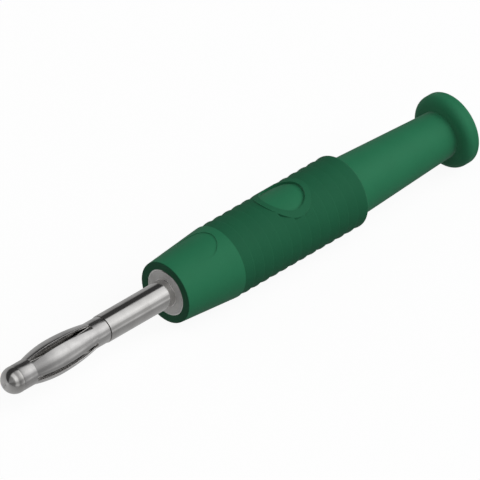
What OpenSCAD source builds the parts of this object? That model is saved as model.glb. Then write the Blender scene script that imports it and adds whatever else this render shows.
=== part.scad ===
// Banana plug with a four-leaf spring cage, a ribbed soft sleeve and a trumpet-ended kink protection.
// The plug axis is the X axis, with the tip to -X and the cable end to +X. The origin is the centre of
// the mating face, where the pin leaves the sleeve, and lengths along the axis are counted from there.

/* [Pin] */
// Diameter of the bare shank
pin_d = 3.9; // [3.7:0.05:4]
// Length of the pin from the mating face to the rim of the turning centre
pin_len = 29.55; // [27:0.05:33]
// Length of the bare shank in front of the mating face
shank_len = 11.65; // [9:0.05:13]
// Diameter of the domed head
head_d = 3.75; // [3.6:0.05:3.9]
// Length of the domed head
head_len = 2.05; // [2:0.05:3]
// Diameter of the turning centre in the head
centre_d = 0.9; // [0.4:0.1:1.2]
// Depth of the turning centre
centre_depth = 0.22; // [0.1:0.02:0.4]

/* [Spring cage] */
// Outer diameter of the cage's two collars
collar_d = 3.72; // [3.6:0.02:3.9]
// Length of each collar, up to where the leaves rise
collar_len = 2.3; // [2:0.05:3]
// Thickness of the sheet
sheet_t = 0.25; // [0.15:0.01:0.3]
// Outer diameter over the crest of the leaves
bulge_d = 4.96; // [4.6:0.02:5.4]
// Distance of the crest from the shank
crest_pos = 8.75; // [7:0.05:9.5]
// Number of leaves
leaf_count = 4; // [3:1:4]
// Width of the straight slots between the leaves
leaf_gap = 0.84; // [0.5:0.02:1.1]
// Turn of the slots about the axis, from straight up towards the front
cage_turn = 10; // [0:5:45]
// Width of the open seam in the collars
seam_w = 0.14; // [0.06:0.02:0.3]

/* [Contact body] */
// Diameter of the body inside the sleeve
body_d = 6.66; // [6:0.02:7]
// Length of the body behind the mating face
body_len = 30; // [27:0.5:31]
// Bevel round the ends of the body
body_bevel = 0.2; // [0.1:0.05:0.5]
// Place of the first holding groove
groove_pos = 4.5; // [3:0.1:6]
// Spacing of the holding grooves
groove_pitch = 2.2; // [1.6:0.1:3]
// Number of holding grooves
groove_count = 3; // [1:1:4]
// Radius of a holding groove
groove_r = 0.6; // [0.3:0.05:0.7]
// Depth of a holding groove
groove_depth = 0.3; // [0.1:0.05:0.5]
// Diameter of the wire bore
wire_d = 2.4; // [1.6:0.1:2.8]
// Depth of the wire bore
wire_depth = 14; // [11:0.5:16]

/* [Clamp screw] */
// Diameter of the screw
screw_d = 3; // [2:0.5:3]
// Distance of the screw from the rear end of the body
screw_inset = 7.5; // [5:0.5:9]
// Depth of the screw's outer end below the lowest point of its hole's rim
screw_sink = 0.05; // [0:0.05:0.2]
// Width of the driver slot
slot_w = 0.5; // [0.3:0.05:0.6]
// Depth of the driver slot
slot_depth = 0.6; // [0.4:0.05:0.8]
// Bevel at both ends of the screw
screw_bevel = 0.2; // [0.1:0.05:0.3]

/* [Sleeve nose] */
// Diameter of the nose at the mating face
nose_d = 8.86; // [8.4:0.02:9.4]
// Length of the nose
nose_len = 9.8; // [8:0.1:12]
// Rounding of the nose's front edge
nose_edge_r = 0.15; // [0.05:0.05:0.4]
// Diameter of the bare round field on the nose
nose_field_d = 5.4; // [3:0.1:6]
// Place of the field on the nose
nose_field_pos = 5.9; // [4.5:0.1:6.4]
// Depth of the field on the nose
nose_field_depth = 0.1; // [0.04:0.02:0.2]

/* [Sleeve grip] */
// Diameter over the ribs
grip_d = 10.5; // [10:0.1:11.5]
// Number of ribs
rib_count = 13; // [10:1:15]
// Pitch of the ribs
rib_pitch = 1.75; // [1.5:0.05:2]
// Height of the ribs' steps
rib_depth = 0.28; // [0.1:0.02:0.36]
// Length over which a step falls
rib_step = 0.12; // [0.06:0.02:0.3]
// Narrow land on top of each rib
rib_land = 0.1; // [0.04:0.02:0.3]
// Plain land behind the last rib
end_land = 0.25; // [0.1:0.05:0.5]
// Rounding of the grip's rear edge
shoulder_r = 0.3; // [0.1:0.05:0.5]
// Diameter of the smooth pad on top of the grip
pad_d = 7.8; // [7:0.1:9]
// Diameter of the bare round field in the pad
field_d = 6.1; // [4:0.1:6.6]
// Place of the field behind the mating face
field_pos = 21.7; // [20:0.1:23]
// Depth of the field
field_depth = 0.35; // [0.1:0.05:0.5]

/* [Sleeve tail] */
// Diameter of the tail behind the grip
tail_d = 8.56; // [8:0.02:9]
// Diameter of the tail in front of the trumpet
tail_end_d = 6.7; // [6.4:0.05:7.4]
// Length of the tail
tail_len = 18.45; // [14:0.05:24]
// Diameter of the trumpet
trumpet_d = 10.5; // [9.5:0.1:11.5]
// Length of the trumpet
trumpet_len = 2.65; // [2.2:0.05:3.6]
// Rounding of the trumpet's front
flare_r = 1.2; // [0.6:0.05:1.4]
// Length of the trumpet behind its front rounding
rim_w = 1.4; // [0.8:0.05:1.8]
// Rounding of the trumpet's rear edge
rim_r = 0.6; // [0.3:0.05:0.7]
// Diameter of the cable's way through the tail
cable_d = 4.4; // [3.4:0.1:5]
// Radius of the bell mouth inside the trumpet
bell_r = 3; // [2.6:0.1:3.4]

/* [Fits] */
// Gap between the body and the sleeve, on the radius
slide_gap = 0.03; // [0.02:0.01:0.08]
// Gap between the screw and its hole, on the radius
thread_gap = 0.03; // [0.02:0.01:0.06]
// Gap between the cage and the core, on the radius
cage_gap = 0.02; // [0.01:0.01:0.05]
// Gap along the axis at each end of the cage
cage_end_gap = 0.06; // [0.02:0.02:0.12]
// Gap along the axis behind the body
stop_gap = 0.1; // [0.05:0.05:0.3]

/* [Hidden] */
$fn = 160;
// Overrun of a cut past the face that it opens
over = 1;

grip_len = rib_count * rib_pitch + end_land;
grip_end = nose_len + grip_len;
tail_end = grip_end + tail_len;
sleeve_len = tail_end + trumpet_len;

dome_r = head_d / 2;
dome_x = sqrt(pow(dome_r, 2) - pow(centre_d / 2, 2)) - pin_len;
head_back = head_len - pin_len;
core_d = collar_d - 2 * sheet_t - 2 * cage_gap;
cage_front = head_back + cage_end_gap;
cage_back = -shank_len - cage_end_gap;
crest_x = -shank_len - crest_pos;
leaf_front = cage_front + collar_len;
leaf_back = cage_back - collar_len;
// Length by which a leaf runs into its collar
leaf_root = collar_len / 4;

bore_end = body_len + stop_gap;
screw_x = body_len - screw_inset;
screw_top = sqrt(pow(body_d / 2, 2) - pow(screw_d / 2, 2)) - screw_sink;
screw_len = screw_top - wire_d / 2;

// Turns a profile, drawn with x along the plug axis and y as the radius, about the plug axis
module turned() {
    rotate([0, 90, 0]) rotate_extrude() mirror([1, -1]) children();
}

// Radius of the arc that rises by height over length and ends level
function arc_radius(length, height) = (pow(length, 2) + pow(height, 2)) / (2 * height);

// What rounds an outer corner of an outline: inward is the way from the corner into the outline, as signs
module corner_cut(corner, r, inward) {
    centre = corner + r * inward;
    outside = corner - over * inward;
    difference() {
        translate([min(centre.x, outside.x), min(centre.y, outside.y)]) square(r + over);
        translate(centre) circle(r);
    }
}

// Head, core, shank and body in one outline
module contact_outline() {
    body_r = body_d / 2;
    difference() {
        polygon([
            [dome_x - dome_r, 0],
            [dome_x - dome_r, dome_r],
            [head_back, dome_r],
            [head_back, core_d / 2],
            [-shank_len, core_d / 2],
            [-shank_len, pin_d / 2],
            [0, pin_d / 2],
            [0, body_r - body_bevel],
            [body_bevel, body_r],
            [body_len - body_bevel, body_r],
            [body_len, body_r - body_bevel],
            [body_len, 0]
        ]);
        corner_cut([dome_x - dome_r, dome_r], dome_r, [1, -1]);
    }
}

// Small cone that the lathe's centre leaves in the dome
module turning_centre() {
    polygon([
        [-pin_len - over, 0],
        [-pin_len - over, centre_d / 2],
        [-pin_len, centre_d / 2],
        [-pin_len + centre_depth, 0]
    ]);
}

module holding_grooves() {
    for (i = [0 : groove_count - 1])
        translate([groove_pos + i * groove_pitch, body_d / 2 + groove_r - groove_depth]) circle(groove_r);
}

// Blind drilling with its pointed end, open towards the cable
module wire_bore() {
    bore_r = wire_d / 2;
    drill_point = bore_r * tan(30);
    polygon([
        [body_len - wire_depth - drill_point, 0],
        [body_len - wire_depth, bore_r],
        [body_len + over, bore_r],
        [body_len + over, 0]
    ]);
}

// Stands what is drawn along z on the screw's axis, which points out of the body to -Y
module screw_axis() {
    translate([screw_x, 0, 0]) rotate([90, 0, 0]) children();
}

module contact_pin() {
    color("silver") difference() {
        turned() difference() {
            contact_outline();
            turning_centre();
            holding_grooves();
            wire_bore();
        }
        screw_axis() cylinder(d = screw_d, h = body_d / 2 + over);
    }
}

// Solid form of the cage, smaller by inset all round and longer by past at both ends: a straight tube's
// form and the two arcs of the leaves, which meet at the crest
module cage_form(inset, past) {
    turned() translate([cage_front - past, 0]) square([cage_back - cage_front + 2 * past, collar_d / 2 - inset]);
    for (foot_x = [leaf_front, leaf_back]) {
        arc_r = arc_radius(abs(crest_x - foot_x), (bulge_d - collar_d) / 2);
        root_x = foot_x + sign(foot_x - crest_x) * leaf_root;
        turned() intersection() {
            translate([crest_x, bulge_d / 2 - arc_r]) circle(arc_r - inset, $fn = 360);
            polygon([[root_x, 0], [crest_x, 0], [crest_x, bulge_d], [root_x, bulge_d]]);
        }
    }
}

// Straight cut through one side of the cage
module cage_cut(angle, from, to, width) {
    rotate([angle, 0, 0]) translate([from, -width / 2, 0]) cube([to - from, width, bulge_d]);
}

module spring_cage() {
    color("lightgray") difference() {
        cage_form(0, 0);
        cage_form(sheet_t, over);
        for (i = [0 : leaf_count - 1])
            cage_cut(cage_turn + i * 360 / leaf_count, leaf_front, leaf_back, leaf_gap);
        cage_cut(cage_turn - 360 / leaf_count, cage_front - over, cage_back + over, seam_w);
    }
}

module clamp_screw() {
    shaft_r = screw_d / 2 - thread_gap;
    color("gainsboro") screw_axis() difference() {
        translate([0, 0, wire_d / 2]) rotate_extrude() polygon([
            [0, 0],
            [shaft_r - screw_bevel, 0],
            [shaft_r, screw_bevel],
            [shaft_r, screw_len - screw_bevel],
            [shaft_r - screw_bevel, screw_len],
            [0, screw_len]
        ]);
        translate([-screw_d, -slot_w / 2, screw_top - slot_depth]) cube([2 * screw_d, slot_w, slot_depth + over]);
    }
}

// Outside of the sleeve before its ribs are cut, with a steep front wall that runs onto the trumpet's rounding
module sleeve_outline() {
    grip_r = grip_d / 2;
    top_r = trumpet_d / 2;
    round_at = [sleeve_len - rim_w, top_r - flare_r];
    flare_foot = [tail_end, tail_end_d / 2];
    reach = norm(round_at - flare_foot);
    flare_angle = atan2(round_at.y - flare_foot.y, round_at.x - flare_foot.x) + asin(flare_r / reach);
    flare_dir = [cos(flare_angle), sin(flare_angle)];
    flare_top = flare_foot + flare_dir * sqrt(pow(reach, 2) - pow(flare_r, 2));
    difference() {
        polygon([
            [0, 0],
            [0, nose_d / 2],
            [nose_edge_r, nose_d / 2],
            [nose_len, grip_r],
            [grip_end, grip_r],
            [grip_end, tail_d / 2],
            flare_foot,
            flare_foot + flare_dir * (top_r - flare_foot.y) / flare_dir.y,
            [sleeve_len, top_r],
            [sleeve_len, 0]
        ]);
        corner_cut([0, nose_d / 2], nose_edge_r, [1, -1]);
        corner_cut([grip_end, grip_r], shoulder_r, [-1, -1]);
        corner_cut([sleeve_len, top_r], rim_r, [-1, -1]);
        difference() {
            polygon([flare_top, [flare_top.x, top_r + over], [round_at.x, top_r + over], round_at]);
            translate(round_at) circle(flare_r);
        }
    }
}

// Seat of the contact body, the cable's way behind it and the bell mouth inside the trumpet
module sleeve_bore() {
    mouth_r = trumpet_d / 2 - rim_r;
    bell_reach = bell_r * sin(acos(1 - (mouth_r - cable_d / 2) / bell_r));
    bell_start = sleeve_len - bell_reach;
    translate([-over, 0]) square([over + bore_end, body_d / 2 + slide_gap]);
    square([sleeve_len + over, cable_d / 2]);
    difference() {
        translate([bell_start, 0]) square([bell_reach + over, mouth_r]);
        translate([bell_start, cable_d / 2 + bell_r]) circle(bell_r);
    }
}

// What is cut away for the ribs: each rises gently towards the cable end and falls in a steep step
module rib_cuts() {
    top_r = grip_d / 2;
    for (i = [0 : rib_count - 1])
        translate([nose_len + i * rib_pitch, 0]) polygon([
            [0, top_r],
            [rib_step, top_r - rib_depth],
            [rib_pitch - rib_land, top_r],
            [rib_pitch - rib_land, top_r + over],
            [0, top_r + over]
        ]);
}

// Shallow round field seen from above, whose floor follows the surface that is drawn as children
module round_field(d, x) {
    difference() {
        translate([x, 0, 0]) cylinder(d = d, h = grip_d);
        children();
    }
}

module insulating_sleeve() {
    color("seagreen") difference() {
        turned() difference() {
            sleeve_outline();
            sleeve_bore();
        }
        difference() {
            turned() rib_cuts();
            translate([field_pos, 0, 0]) cylinder(d = pad_d, h = grip_d);
        }
        round_field(field_d, field_pos)
            turned() translate([nose_len, 0]) square([grip_len, grip_d / 2 - field_depth]);
        round_field(nose_field_d, nose_field_pos)
            turned() polygon([
                [0, 0],
                [0, nose_d / 2 - nose_field_depth],
                [nose_len, grip_d / 2 - nose_field_depth],
                [nose_len, 0]
            ]);
    }
}

contact_pin();
spring_cage();
clamp_screw();
insulating_sleeve();
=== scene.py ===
import math

import bmesh
import bpy
from mathutils import Matrix, Vector


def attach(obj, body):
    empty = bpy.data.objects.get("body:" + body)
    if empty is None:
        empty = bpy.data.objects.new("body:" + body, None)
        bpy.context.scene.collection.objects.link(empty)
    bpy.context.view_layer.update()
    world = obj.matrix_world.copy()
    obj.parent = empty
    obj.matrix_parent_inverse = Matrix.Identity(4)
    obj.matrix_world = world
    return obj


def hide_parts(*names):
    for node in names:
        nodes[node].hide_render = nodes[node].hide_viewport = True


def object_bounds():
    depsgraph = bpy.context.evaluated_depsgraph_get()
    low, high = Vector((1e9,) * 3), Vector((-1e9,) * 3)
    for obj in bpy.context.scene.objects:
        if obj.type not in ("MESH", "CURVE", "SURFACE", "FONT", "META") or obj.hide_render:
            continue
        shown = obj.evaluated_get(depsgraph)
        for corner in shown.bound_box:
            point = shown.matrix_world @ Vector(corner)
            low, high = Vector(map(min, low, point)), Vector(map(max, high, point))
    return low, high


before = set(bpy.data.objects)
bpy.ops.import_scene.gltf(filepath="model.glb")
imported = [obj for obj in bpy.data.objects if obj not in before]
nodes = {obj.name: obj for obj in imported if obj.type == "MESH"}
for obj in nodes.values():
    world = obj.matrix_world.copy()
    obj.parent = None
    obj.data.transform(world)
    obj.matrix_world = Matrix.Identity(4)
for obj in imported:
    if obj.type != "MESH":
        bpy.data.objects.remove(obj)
cadLow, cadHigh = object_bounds()
mm = 0.001
fullTurn = 360.0
print("frame loaded:", ", ".join(sorted(nodes)))


# small helpers for node trees

def addNode(tree, kind, **settings):
    node = tree.nodes.new(kind)
    for key, value in settings.items():
        setattr(node, key, value)
    return node


def setInputs(node, **values):
    for key, value in values.items():
        node.inputs[key.replace("_", " ")].default_value = value
    return node


def feed(tree, socket, value):
    if isinstance(value, bpy.types.NodeSocket):
        tree.links.new(value, socket)
    else:
        socket.default_value = value


def mathNode(tree, operation, *values):
    node = addNode(tree, "ShaderNodeMath", operation=operation)
    for socket, value in zip(node.inputs, values):
        feed(tree, socket, value)
    return node.outputs[0]


def vectorNode(tree, operation, *values):
    node = addNode(tree, "ShaderNodeVectorMath", operation=operation)
    for socket, value in zip(node.inputs, values):
        feed(tree, socket, value)
    return node.outputs["Value" if operation == "DOT_PRODUCT" else "Vector"]


def smoothStep(tree, value, low, high, bottom=0.0, top=1.0):
    node = addNode(tree, "ShaderNodeMapRange", interpolation_type="SMOOTHSTEP")
    for slot, part in enumerate((value, low, high, bottom, top)):
        feed(tree, node.inputs[slot], part)
    return node.outputs[0]


def mixColour(tree, factor, first, second):
    node = addNode(tree, "ShaderNodeMix", data_type="RGBA")
    feed(tree, node.inputs["Factor"], factor)
    feed(tree, node.inputs[6], first)
    feed(tree, node.inputs[7], second)
    return node.outputs[2]


def noiseNode(tree, place, scale, detail, dimensions="3D"):
    node = addNode(tree, "ShaderNodeTexNoise", noise_dimensions=dimensions)
    setInputs(node, Scale=scale, Detail=detail)
    feed(tree, node.inputs["W" if dimensions == "1D" else "Vector"], place)
    return node.outputs[0]


def splitPlace(tree, place):
    node = addNode(tree, "ShaderNodeSeparateXYZ")
    tree.links.new(place, node.inputs[0])
    return node.outputs


def newGroup(name, kind, inputs, outputs):
    tree = bpy.data.node_groups.new(name, kind)
    for way, sockets in (("INPUT", inputs), ("OUTPUT", outputs)):
        for label, socketType in sockets:
            tree.interface.new_socket(name=label, in_out=way, socket_type=socketType)
    return tree, addNode(tree, "NodeGroupInput").outputs, addNode(tree, "NodeGroupOutput").inputs


def useGroup(tree, group, **values):
    node = addNode(tree, "ShaderNodeGroup", node_tree=group)
    for key, value in values.items():
        feed(tree, node.inputs[key], value)
    return node.outputs


def newMaterial(name):
    material = bpy.data.materials.new(name)
    material.use_nodes = True
    tree = material.node_tree
    tree.nodes.clear()
    output = addNode(tree, "ShaderNodeOutputMaterial")
    shader = addNode(tree, "ShaderNodeBsdfPrincipled")
    tree.links.new(shader.outputs["BSDF"], output.inputs["Surface"])
    return material, tree, shader, addNode(tree, "ShaderNodeTexCoord").outputs


def addBump(tree, shader, height, depth):
    bump = setInputs(addNode(tree, "ShaderNodeBump"), Strength=1.0, Distance=depth)
    tree.links.new(height, bump.inputs["Height"])
    tree.links.new(bump.outputs[0], shader.inputs["Normal"])


# shared finishes: tool marks and handling haze on metal, and the grain of a mould

markLook = dict(lineScale=1.0, lineDetail=3.0, hazeScale=420.0, hazeDetail=4.0, hazeLow=0.38, hazeHigh=0.72)


def makeToolMarks():
    look = markLook
    tree, given, result = newGroup("toolMarks", "ShaderNodeTree",
                                   [("Along", "NodeSocketFloat"), ("Place", "NodeSocketVector"),
                                    ("Pitch", "NodeSocketFloat")],
                                   [("Height", "NodeSocketFloat"), ("Haze", "NodeSocketFloat")])
    steps = mathNode(tree, "DIVIDE", given["Along"], given["Pitch"])
    lines = noiseNode(tree, steps, look["lineScale"], look["lineDetail"], "1D")
    haze = noiseNode(tree, given["Place"], look["hazeScale"], look["hazeDetail"])
    tree.links.new(lines, result["Height"])
    tree.links.new(smoothStep(tree, haze, look["hazeLow"], look["hazeHigh"]), result["Haze"])
    return tree


grainLook = dict(fineScale=9000.0, broadScale=260.0, detail=3.0, fineShare=0.35, broadShare=0.65)


def makeMouldGrain():
    look = grainLook
    tree, given, result = newGroup("mouldGrain", "ShaderNodeTree", [("Place", "NodeSocketVector")],
                                   [("Height", "NodeSocketFloat"), ("Tone", "NodeSocketFloat")])
    fine = noiseNode(tree, given["Place"], look["fineScale"], look["detail"])
    broad = noiseNode(tree, given["Place"], look["broadScale"], look["detail"])
    tree.links.new(fine, result["Height"])
    cloudy = mathNode(tree, "MULTIPLY", broad, look["broadShare"])
    tree.links.new(mathNode(tree, "MULTIPLY_ADD", fine, look["fineShare"], cloudy), result["Tone"])
    return tree


toolMarks = makeToolMarks()
mouldGrain = makeMouldGrain()


def dressMetal(tree, shader, look, marks):
    tree.links.new(mixColour(tree, marks["Haze"], look["bright"], look["hazed"]), shader.inputs["Base Color"])
    addBump(tree, shader, marks["Height"], look["depth"])
    rough = mathNode(tree, "MULTIPLY_ADD", marks["Haze"], look["hazeRough"], look["roughness"])
    return mathNode(tree, "MULTIPLY_ADD", marks["Height"], look["markRough"], rough)


# nickel on turned brass: rings round the axis, and a duller ring-marked face where the pin leaves its collar

turnedNickel = dict(bright=(0.80, 0.79, 0.775, 1), hazed=(0.70, 0.69, 0.675, 1), pitch=0.09 * mm,
                    depth=0.0012 * mm, roughness=0.09, hazeRough=0.06, markRough=0.06, faceRough=0.42,
                    faceMetal=0.45, faceReach=0.05 * mm, faceRadius=2.0 * mm)


def makeTurnedNickel():
    look = turnedNickel
    material, tree, shader, coords = newMaterial("turnedNickel")
    place = coords["Object"]
    across = vectorNode(tree, "MULTIPLY", place, (0, 1, 1))
    radius = mathNode(tree, "SQRT", vectorNode(tree, "DOT_PRODUCT", across, across))
    axial = splitPlace(tree, place)["X"]
    level = mathNode(tree, "LESS_THAN", mathNode(tree, "ABSOLUTE", axial), look["faceReach"])
    faced = mathNode(tree, "MULTIPLY", level, mathNode(tree, "GREATER_THAN", radius, look["faceRadius"]))
    along = addNode(tree, "ShaderNodeMix")
    feed(tree, along.inputs[0], faced)
    feed(tree, along.inputs[2], axial)
    feed(tree, along.inputs[3], radius)
    marks = useGroup(tree, toolMarks, Along=along.outputs[0], Place=place, Pitch=look["pitch"])
    rough = dressMetal(tree, shader, look, marks)
    rough = mathNode(tree, "MULTIPLY_ADD", faced, look["faceRough"], rough)
    tree.links.new(rough, shader.inputs["Roughness"])
    metal = mathNode(tree, "MULTIPLY_ADD", faced, look["faceMetal"] - 1.0, 1.0)
    tree.links.new(metal, shader.inputs["Metallic"])
    return material


# nickel on rolled spring sheet: fine lines run lengthwise

rolledNickel = dict(bright=(0.80, 0.79, 0.78, 1), hazed=(0.68, 0.67, 0.665, 1), pitch=0.05 * mm,
                    depth=0.0008 * mm, roughness=0.13, hazeRough=0.1, markRough=0.06, rollRadius=1.9 * mm)


def makeRolledNickel():
    look = rolledNickel
    material, tree, shader, coords = newMaterial("rolledNickel")
    place = coords["Object"]
    split = splitPlace(tree, place)
    turn = mathNode(tree, "ARCTAN2", split["Y"], split["Z"])
    around = mathNode(tree, "MULTIPLY", turn, look["rollRadius"])
    marks = useGroup(tree, toolMarks, Along=around, Place=place, Pitch=look["pitch"])
    tree.links.new(dressMetal(tree, shader, look, marks), shader.inputs["Roughness"])
    shader.inputs["Metallic"].default_value = 1.0
    return material


# plain turned steel for the screw

screwSteel = dict(bright=(0.60, 0.60, 0.61, 1), hazed=(0.42, 0.42, 0.43, 1), pitch=0.06 * mm,
                  depth=0.001 * mm, roughness=0.28, hazeRough=0.14, markRough=0.0)


def makeScrewSteel():
    look = screwSteel
    material, tree, shader, coords = newMaterial("screwSteel")
    place = coords["Object"]
    along = splitPlace(tree, place)["Y"]
    marks = useGroup(tree, toolMarks, Along=along, Place=place, Pitch=look["pitch"])
    tree.links.new(dressMetal(tree, shader, look, marks), shader.inputs["Roughness"])
    shader.inputs["Metallic"].default_value = 1.0
    return material


# soft moulded sleeve: smooth nose, tail and field, a duller and finely grained grip whose darker colour is
# painted shade of its rib grooves, and a front ring darkened by painted shade

greenPvc = dict(smooth=(0.029, 0.230, 0.108, 1), grained=(0.020, 0.162, 0.076, 1), toneShare=0.22,
                roughness=0.5, toneRough=0.1, gripRough=0.1, gloss=0.2, depth=0.014 * mm, smoothGrain=0.3,
                gripGrain=0.7, gripStart=9.8 * mm, gripEnd=32.8 * mm, fieldPlace=21.7 * mm,
                fieldRadius=3.05 * mm, seamBlend=0.06 * mm, frontFace=0.12 * mm, frontTone=0.5)


def makeGreenPvc():
    look = greenPvc
    material, tree, shader, coords = newMaterial("greenPvc")
    place = coords["Object"]
    split = splitPlace(tree, place)
    blend = look["seamBlend"]
    began = smoothStep(tree, split["X"], look["gripStart"] - blend, look["gripStart"] + blend)
    ended = smoothStep(tree, split["X"], look["gripEnd"] - blend, look["gripEnd"] + blend, 1.0, 0.0)
    fromField = vectorNode(tree, "SUBTRACT", place, (look["fieldPlace"], 0, 0))
    away = vectorNode(tree, "MULTIPLY", fromField, (1, 1, 0))
    reach = mathNode(tree, "SQRT", vectorNode(tree, "DOT_PRODUCT", away, away))
    outside = smoothStep(tree, reach, look["fieldRadius"] - blend, look["fieldRadius"] + blend)
    under = mathNode(tree, "LESS_THAN", split["Z"], 0.0)
    ribbed = mathNode(tree, "MULTIPLY", began, ended)
    grip = mathNode(tree, "MULTIPLY", ribbed, mathNode(tree, "MAXIMUM", outside, under))
    grain = useGroup(tree, mouldGrain, Place=place)
    # the grip's darker colour is painted shade of the rib grooves; its grain bump and extra roughness are its
    # own
    base = mixColour(tree, grip, look["smooth"], look["grained"])
    tone = mathNode(tree, "MULTIPLY_ADD", grain["Tone"], look["toneShare"], 1.0 - look["toneShare"] / 2)
    # painted shade: the front ring facing the tip gets half the colour, standing in for its lack of light
    front, frontTone = look["frontFace"], look["frontTone"]
    face = smoothStep(tree, split["X"], front - blend, front + blend, frontTone, 1.0)
    toned = addNode(tree, "ShaderNodeVectorMath", operation="SCALE")
    tree.links.new(base, toned.inputs[0])
    tree.links.new(mathNode(tree, "MULTIPLY", tone, face), toned.inputs["Scale"])
    tree.links.new(toned.outputs[0], shader.inputs["Base Color"])
    rough = mathNode(tree, "MULTIPLY_ADD", grain["Tone"], look["toneRough"], look["roughness"])
    tree.links.new(mathNode(tree, "MULTIPLY_ADD", grip, look["gripRough"], rough), shader.inputs["Roughness"])
    shader.inputs["Specular IOR Level"].default_value = look["gloss"]
    share = mathNode(tree, "MULTIPLY_ADD", grip, look["gripGrain"], look["smoothGrain"])
    addBump(tree, shader, mathNode(tree, "MULTIPLY", grain["Height"], share), look["depth"])
    return material


finishes = dict(contact_pin=makeTurnedNickel(), spring_cage=makeRolledNickel(), clamp_screw=makeScrewSteel(),
                insulating_sleeve=makeGreenPvc())
for nodeName, material in finishes.items():
    slots = nodes[nodeName].data.materials
    slots.clear()
    slots.append(material)
# the bright pin mirrors the studio alone
nodes["insulating_sleeve"].visible_glossy = False
print("finishes set")


# helpers for pieces

def newObject(name, data):
    piece = bpy.data.objects.new(name, data)
    bpy.context.scene.collection.objects.link(piece)
    return piece


def meshFrom(bm, name):
    mesh = bpy.data.meshes.new(name)
    bm.to_mesh(mesh)
    bm.free()
    return mesh


def addTree(piece, tree, **values):
    modifier = piece.modifiers.new(tree.name, "NODES")
    modifier.node_group = tree
    for item in tree.interface.items_tree:
        if item.in_out == "INPUT" and item.name.replace(" ", "") in values:
            modifier[item.identifier] = values[item.name.replace(" ", "")]


smoothAngle = 30.0


def settle(piece, finish):
    graph = bpy.context.evaluated_depsgraph_get()
    mesh = bpy.data.meshes.new_from_object(piece.evaluated_get(graph), depsgraph=graph)
    mesh.name = piece.name
    piece.modifiers.clear()
    piece.data = mesh
    mesh.materials.clear()
    mesh.materials.append(finish)
    mesh.polygons.foreach_set("use_smooth", [True] * len(mesh.polygons))
    mesh.set_sharp_from_angle(angle=math.radians(smoothAngle))


# spring cage: one leaf with its share of both collars, repeated round the axis and slit at the seam

springCage = dict(front=-27.44, back=-11.71, leafFront=-25.14, leafBack=-14.01, crest=-20.4,
                  collarRadius=1.86, crestRadius=2.48, sheet=0.25, slotWidth=0.84, leafCount=4, turn=10.0,
                  seamWidth=0.14, seamReach=3.0, crease=0.06, edgeRound=0.035, edgeSteps=3, edgeAngle=60.0,
                  stepsAlong=22, stepsAcross=18, joinReach=0.001)


def springRadius(x):
    cage = springCage
    if not cage["leafFront"] < x < cage["leafBack"]:
        return cage["collarRadius"]
    foot = cage["leafFront"] if x < cage["crest"] else cage["leafBack"]
    reach, rise = abs(cage["crest"] - foot), cage["crestRadius"] - cage["collarRadius"]
    bend = (reach ** 2 + rise ** 2) / (2 * rise)
    return cage["crestRadius"] - bend + math.sqrt(bend ** 2 - (x - cage["crest"]) ** 2)


def leafSector():
    cage = springCage
    half = math.pi / cage["leafCount"]
    front, back, crease = cage["leafFront"], cage["leafBack"], cage["crease"]
    frontCollar = [cage["front"], (cage["front"] + front) / 2, front - crease, front]
    backCollar = [back, back + crease, (back + cage["back"]) / 2, cage["back"]]
    low, high = front + crease, back - crease
    arch = [low + (high - low) * i / cage["stepsAlong"] for i in range(cage["stepsAlong"] + 1)]
    bm = bmesh.new()
    rows = []
    for x in frontCollar + arch + backCollar:
        radius = springRadius(x)
        edge = half - math.asin(cage["slotWidth"] / 2 / radius)
        angles = [edge * (2 * i / cage["stepsAcross"] - 1) for i in range(cage["stepsAcross"] + 1)]
        if x in frontCollar or x in backCollar:
            lip = half - math.asin(cage["seamWidth"] / 2 / radius)
            angles = [-half, -lip] + angles + [lip, half]
        spots = [(x * mm, -radius * mm * math.sin(a), radius * mm * math.cos(a)) for a in angles]
        rows.append([bm.verts.new(spot) for spot in spots])
    # a collar row is longer than a leaf row by two points at each end
    for first, second in zip(rows, rows[1:]):
        if len(first) == len(second):
            pairs = list(zip(first, second))
        elif len(first) > len(second):
            pairs = list(zip(first[2:-2], second))
        else:
            pairs = list(zip(first, second[2:-2]))
        for (a, b), (c, d) in zip(pairs, pairs[1:]):
            face = bm.faces.new((a, c, d, b))
            face.normal_update()
            if face.normal.dot(Vector((0, a.co.y, a.co.z))) < 0:
                face.normal_flip()
    return meshFrom(bm, "leafSector")


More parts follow.
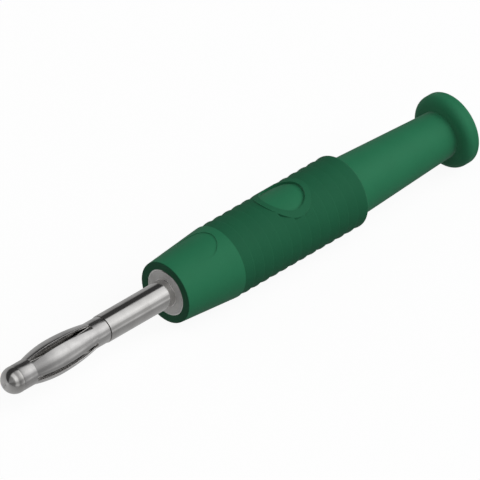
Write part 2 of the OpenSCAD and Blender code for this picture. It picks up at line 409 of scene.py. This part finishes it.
def makeLeafTree():
    tree, given, result = newGroup("leavesRoundAxis", "GeometryNodeTree",
                                   [("Geometry", "NodeSocketGeometry"), ("Leaf Count", "NodeSocketInt"),
                                    ("Turn", "NodeSocketFloat"), ("Seam Turn", "NodeSocketFloat"),
                                    ("Seam Reach", "NodeSocketFloat"), ("Finish", "NodeSocketMaterial")],
                                   [("Geometry", "NodeSocketGeometry")])
    places = addNode(tree, "GeometryNodeMeshLine")
    feed(tree, places.inputs["Count"], given["Leaf Count"])
    feed(tree, places.inputs["Offset"], (0, 0, 0))
    share = mathNode(tree, "DIVIDE", 2 * math.pi, given["Leaf Count"])
    index = addNode(tree, "GeometryNodeInputIndex").outputs[0]
    turned = addNode(tree, "ShaderNodeCombineXYZ")
    feed(tree, turned.inputs["X"], mathNode(tree, "MULTIPLY_ADD", index, share, given["Turn"]))
    copies = addNode(tree, "GeometryNodeInstanceOnPoints")
    feed(tree, copies.inputs["Points"], places.outputs[0])
    feed(tree, copies.inputs["Instance"], given["Geometry"])
    feed(tree, copies.inputs["Rotation"], turned.outputs[0])
    whole = addNode(tree, "GeometryNodeRealizeInstances")
    feed(tree, whole.inputs[0], copies.outputs[0])
    joined = addNode(tree, "GeometryNodeMergeByDistance")
    feed(tree, joined.inputs["Geometry"], whole.outputs[0])
    feed(tree, joined.inputs["Distance"], springCage["joinReach"] * mm)
    towards = addNode(tree, "ShaderNodeCombineXYZ")
    sideways = mathNode(tree, "MULTIPLY", mathNode(tree, "SINE", given["Seam Turn"]), -1.0)
    feed(tree, towards.inputs["Y"], sideways)
    feed(tree, towards.inputs["Z"], mathNode(tree, "COSINE", given["Seam Turn"]))
    place = addNode(tree, "GeometryNodeInputPosition").outputs[0]
    outward = vectorNode(tree, "NORMALIZE", vectorNode(tree, "MULTIPLY", place, (0, 1, 1)))
    near = vectorNode(tree, "DOT_PRODUCT", outward, towards.outputs[0])
    slit = addNode(tree, "GeometryNodeDeleteGeometry", domain="FACE")
    feed(tree, slit.inputs["Geometry"], joined.outputs[0])
    limit = mathNode(tree, "COSINE", given["Seam Reach"])
    feed(tree, slit.inputs["Selection"], mathNode(tree, "GREATER_THAN", near, limit))
    dressed = addNode(tree, "GeometryNodeSetMaterial")
    feed(tree, dressed.inputs["Geometry"], slit.outputs[0])
    feed(tree, dressed.inputs["Material"], given["Finish"])
    feed(tree, result["Geometry"], dressed.outputs[0])
    return tree


def makeSpringCage():
    cage = springCage
    piece = newObject("springCage", leafSector())
    share = fullTurn / cage["leafCount"]
    addTree(piece, makeLeafTree(), LeafCount=cage["leafCount"], Turn=math.radians(cage["turn"] + share / 2),
            SeamTurn=math.radians(cage["turn"] - share), SeamReach=math.radians(cage["seamReach"]),
            Finish=finishes["spring_cage"])
    wall = piece.modifiers.new("wall", "SOLIDIFY")
    wall.thickness, wall.offset, wall.use_even_offset = cage["sheet"] * mm, -1.0, True
    edges = piece.modifiers.new("edges", "BEVEL")
    edges.width, edges.segments = cage["edgeRound"] * mm, cage["edgeSteps"]
    edges.limit_method, edges.angle_limit = "ANGLE", math.radians(cage["edgeAngle"])
    settle(piece, finishes["spring_cage"])
    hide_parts("spring_cage")
    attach(piece, "contact")
    print("spring cage made:", len(piece.data.polygons), "faces")


makeSpringCage()

# clamp screw: slotted grub screw, its thread wound as a spiral below the slot

clampScrew = dict(place=22.5, inner=1.2, outer=2.923, coreRadius=1.27, headRadius=1.46, bevel=0.2,
                  neckRise=0.12, slotWidth=0.5, slotDepth=0.6, slotReach=4.0, pitch=0.5, toothCentre=1.25,
                  toothReach=0.2, threadTop=0.68, threadFoot=0.24, turnSteps=64, threadSteps=48,
                  toothSides=4, joinReach=0.0005)


def screwCore():
    screw = clampScrew
    length = screw["outer"] - screw["inner"]
    neck = length - screw["threadTop"]
    core, head, bevel = screw["coreRadius"], screw["headRadius"], screw["bevel"]
    outline = [(0, 0), (core - bevel, 0), (core, bevel), (core, neck), (head, neck + screw["neckRise"]),
               (head, length - bevel), (head - bevel, length), (0, length)]
    bm = bmesh.new()
    points = [bm.verts.new((r * mm, 0, z * mm)) for r, z in outline]
    lines = [bm.edges.new(pair) for pair in zip(points, points[1:])]
    bmesh.ops.spin(bm, geom=points + lines, axis=(0, 0, 1), cent=(0, 0, 0), angle=2 * math.pi,
                   steps=screw["turnSteps"], use_merge=True)
    bmesh.ops.remove_doubles(bm, verts=bm.verts, dist=screw["joinReach"] * mm)
    bmesh.ops.recalc_face_normals(bm, faces=bm.faces)
    return meshFrom(bm, "screwCore")


def screwSlot():
    screw = clampScrew
    bm = bmesh.new()
    bmesh.ops.create_cube(bm, size=1.0)
    top = screw["outer"] - screw["inner"]
    size = Vector((screw["slotReach"], screw["slotWidth"], 2 * screw["slotDepth"])) * mm
    bmesh.ops.scale(bm, verts=bm.verts, vec=size)
    bmesh.ops.translate(bm, verts=bm.verts, vec=(0, 0, top * mm))
    return meshFrom(bm, "screwSlot")


def makeThreadTree():
    tree, given, result = newGroup("threadRoundCore", "GeometryNodeTree",
                                   [("Geometry", "NodeSocketGeometry"), ("Pitch", "NodeSocketFloat"),
                                    ("Length", "NodeSocketFloat"), ("Foot", "NodeSocketFloat"),
                                    ("Tooth Centre", "NodeSocketFloat"), ("Tooth Reach", "NodeSocketFloat"),
                                    ("Finish", "NodeSocketMaterial")], [("Geometry", "NodeSocketGeometry")])
    path = addNode(tree, "GeometryNodeCurveSpiral")
    feed(tree, path.inputs["Resolution"], clampScrew["threadSteps"])
    feed(tree, path.inputs["Rotations"], mathNode(tree, "DIVIDE", given["Length"], given["Pitch"]))
    feed(tree, path.inputs["Start Radius"], given["Tooth Centre"])
    feed(tree, path.inputs["End Radius"], given["Tooth Centre"])
    feed(tree, path.inputs["Height"], given["Length"])
    tooth = addNode(tree, "GeometryNodeCurvePrimitiveCircle", mode="RADIUS")
    feed(tree, tooth.inputs["Resolution"], clampScrew["toothSides"])
    feed(tree, tooth.inputs["Radius"], given["Tooth Reach"])
    ridge = addNode(tree, "GeometryNodeCurveToMesh")
    feed(tree, ridge.inputs["Curve"], path.outputs[0])
    feed(tree, ridge.inputs["Profile Curve"], tooth.outputs[0])
    feed(tree, ridge.inputs["Fill Caps"], True)
    raised = addNode(tree, "ShaderNodeCombineXYZ")
    feed(tree, raised.inputs["Z"], given["Foot"])
    lifted = addNode(tree, "GeometryNodeTransform")
    feed(tree, lifted.inputs["Geometry"], ridge.outputs[0])
    feed(tree, lifted.inputs["Translation"], raised.outputs[0])
    both = addNode(tree, "GeometryNodeJoinGeometry")
    feed(tree, both.inputs[0], lifted.outputs[0])
    feed(tree, both.inputs[0], given["Geometry"])
    whole = addNode(tree, "GeometryNodeRealizeInstances")
    feed(tree, whole.inputs[0], both.outputs[0])
    dressed = addNode(tree, "GeometryNodeSetMaterial")
    feed(tree, dressed.inputs["Geometry"], whole.outputs[0])
    feed(tree, dressed.inputs["Material"], given["Finish"])
    feed(tree, result["Geometry"], dressed.outputs[0])
    return tree


def makeClampScrew():
    screw = clampScrew
    piece = newObject("clampScrew", screwCore())
    cutter = newObject("screwSlot", screwSlot())
    cut = piece.modifiers.new("slot", "BOOLEAN")
    cut.operation, cut.object, cut.solver = "DIFFERENCE", cutter, "EXACT"
    length = screw["outer"] - screw["inner"] - screw["threadTop"] - screw["threadFoot"]
    addTree(piece, makeThreadTree(), Pitch=screw["pitch"] * mm, Length=length * mm,
            Foot=screw["threadFoot"] * mm, ToothCentre=screw["toothCentre"] * mm,
            ToothReach=screw["toothReach"] * mm, Finish=finishes["clamp_screw"])
    settle(piece, finishes["clamp_screw"])
    bpy.data.objects.remove(cutter)
    seat = Matrix.Translation((screw["place"] * mm, -screw["inner"] * mm, 0))
    piece.data.transform(seat @ Matrix.Rotation(math.pi / 2, 4, "X"))
    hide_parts("clamp_screw")
    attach(piece, "screw")
    print("clamp screw made:", len(piece.data.polygons), "faces")


makeClampScrew()

# pale floor, and a studio of one broad soft light in front of a grey room

stageLook = dict(floorSize=3.0, floorTint=(0.10, 0.10, 0.10, 1), bounceTint=(0.30, 0.30, 0.30, 1),
                 glow=0.93, backdrop=0.98)


def makeFloor():
    half = stageLook["floorSize"] / 2
    mesh = bpy.data.meshes.new("floor")
    level = cadLow.z
    corners = [(-half, -half, level), (half, -half, level), (half, half, level), (-half, half, level)]
    mesh.from_pydata(corners, [], [(0, 1, 2, 3)])
    floor = newObject("floor", mesh)
    material = bpy.data.materials.new("paleFloor")
    material.use_nodes = True
    tree = material.node_tree
    tree.nodes.clear()
    output = addNode(tree, "ShaderNodeOutputMaterial")
    seen = addNode(tree, "ShaderNodeBsdfPrincipled")
    setInputs(seen, Base_Color=stageLook["floorTint"], Roughness=1.0, Specular_IOR_Level=0.0,
              Emission_Color=(1, 1, 1, 1), Emission_Strength=stageLook["glow"])
    bounced = addNode(tree, "ShaderNodeBsdfDiffuse")
    setInputs(bounced, Color=stageLook["bounceTint"])
    mix = addNode(tree, "ShaderNodeMixShader")
    path = addNode(tree, "ShaderNodeLightPath")
    tree.links.new(path.outputs["Is Camera Ray"], mix.inputs[0])
    tree.links.new(bounced.outputs[0], mix.inputs[1])
    tree.links.new(seen.outputs[0], mix.inputs[2])
    tree.links.new(mix.outputs[0], output.inputs["Surface"])
    mesh.materials.append(material)
    floor.visible_glossy = False


# light by its turn about the plug axis, in degrees from the camera's side, positive downwards:
# in front one broad soft light and a strip below it, then a grey room with a dark gap above the broad light
frontLight = ((-58, 0.0), (-50, 0.6), (0, 0.95), (22, 0.65), (30, 0.35), (46, 0.35), (58, 0.55), (74, 0.0))
roomLight = ((-180, 0.45), (-108, 0.3), (-98, 0.04), (64, 0.04), (76, 0.26), (180, 0.45))
# share of the front light, from the tip's side (-1) to the tail's (1)
alongLight = ((-1.0, 0.2), (-0.6, 0.25), (-0.48, 1.0), (-0.14, 1.0), (0.0, 0.4), (0.25, 0.45), (0.56, 1.0))
alongSpan = 2.0
towardsCamera, downwards = Vector((0, -1, 1)).normalized(), Vector((0, -1, -1)).normalized()


def lightRamp(tree, value, stops, span):
    ramp = addNode(tree, "ShaderNodeValToRGB")
    tree.links.new(mathNode(tree, "MULTIPLY_ADD", value, 1 / span, 0.5), ramp.inputs[0])
    elements = ramp.color_ramp.elements
    while len(elements) < len(stops):
        elements.new(1.0)
    for element, (place, level) in zip(elements, stops):
        element.position, element.color = 0.5 + place / span, (level,) * 3 + (1,)
    return ramp.outputs[0]


def makeStudio():
    world = bpy.data.worlds.new("studio")
    world.use_nodes = True
    tree = world.node_tree
    tree.nodes.clear()
    output = addNode(tree, "ShaderNodeOutputWorld")
    way = addNode(tree, "ShaderNodeTexCoord").outputs["Generated"]
    front = vectorNode(tree, "DOT_PRODUCT", way, towardsCamera)
    down = vectorNode(tree, "DOT_PRODUCT", way, downwards)
    turn = mathNode(tree, "DEGREES", mathNode(tree, "ARCTAN2", down, front))
    share = lightRamp(tree, splitPlace(tree, way)["X"], alongLight, alongSpan)
    broad = mathNode(tree, "MULTIPLY", lightRamp(tree, turn, frontLight, fullTurn), share)
    level = mathNode(tree, "ADD", broad, lightRamp(tree, turn, roomLight, fullTurn))
    lit = addNode(tree, "ShaderNodeBackground")
    tree.links.new(level, lit.inputs["Color"])
    white = addNode(tree, "ShaderNodeBackground")
    white.inputs["Color"].default_value = (stageLook["backdrop"],) * 3 + (1,)
    mix = addNode(tree, "ShaderNodeMixShader")
    tree.links.new(addNode(tree, "ShaderNodeLightPath").outputs["Is Camera Ray"], mix.inputs[0])
    tree.links.new(lit.outputs[0], mix.inputs[1])
    tree.links.new(white.outputs[0], mix.inputs[2])
    tree.links.new(mix.outputs[0], output.inputs["Surface"])
    bpy.context.scene.world = world


# softboxes for the moulding, kept out of the metal's reflections

softboxes = dict(keyBox=dict(towards=(0.577, -0.577, 0.577), power=3.4),
                 fillBox=dict(towards=(-0.3, 0.75, 0.6), power=1.0))
boxAway, boxSize = 1.0, 0.7


def makeSoftbox(name, look):
    data = bpy.data.lights.new(name, "AREA")
    data.size, data.energy = boxSize, look["power"]
    lamp = newObject(name, data)
    direction = Vector(look["towards"]).normalized()
    lamp.location = direction * boxAway
    lamp.rotation_mode = "QUATERNION"
    lamp.rotation_quaternion = direction.to_track_quat("Z", "X")
    lamp.visible_glossy = False


# camera at the photograph's isometric angle

view = dict(azimuth=-45.0, elevation=35.264, lens=1550.0, sensor=36.0, imageWidth=63.24 * mm,
            axisPoint=14.70 * mm, lift=1.08 * mm, nearClip=0.1, farClip=20.0)


def makeCamera():
    aside = view["lift"] * math.sqrt(0.5)
    lookAt = Vector((view["axisPoint"], aside, aside))
    turn, rise = math.radians(view["azimuth"]), math.radians(view["elevation"])
    back = Vector((math.sin(turn) * math.cos(rise), -math.cos(turn) * math.cos(rise), math.sin(rise)))
    data = bpy.data.cameras.new("camera")
    data.lens = view["lens"]
    data.sensor_width = view["sensor"]
    camera = newObject("camera", data)
    distance = view["imageWidth"] * view["lens"] / view["sensor"]
    camera.location = lookAt + back * distance
    camera.rotation_mode = "QUATERNION"
    camera.rotation_quaternion = (-back).to_track_quat("-Z", "Y")
    data.clip_start, data.clip_end = view["nearClip"], view["farClip"]
    bpy.context.scene.camera = camera


makeFloor()
makeStudio()
for boxName, boxLook in softboxes.items():
    makeSoftbox(boxName, boxLook)
makeCamera()
bpy.context.scene.view_settings.view_transform = "Standard"
print("stage set")
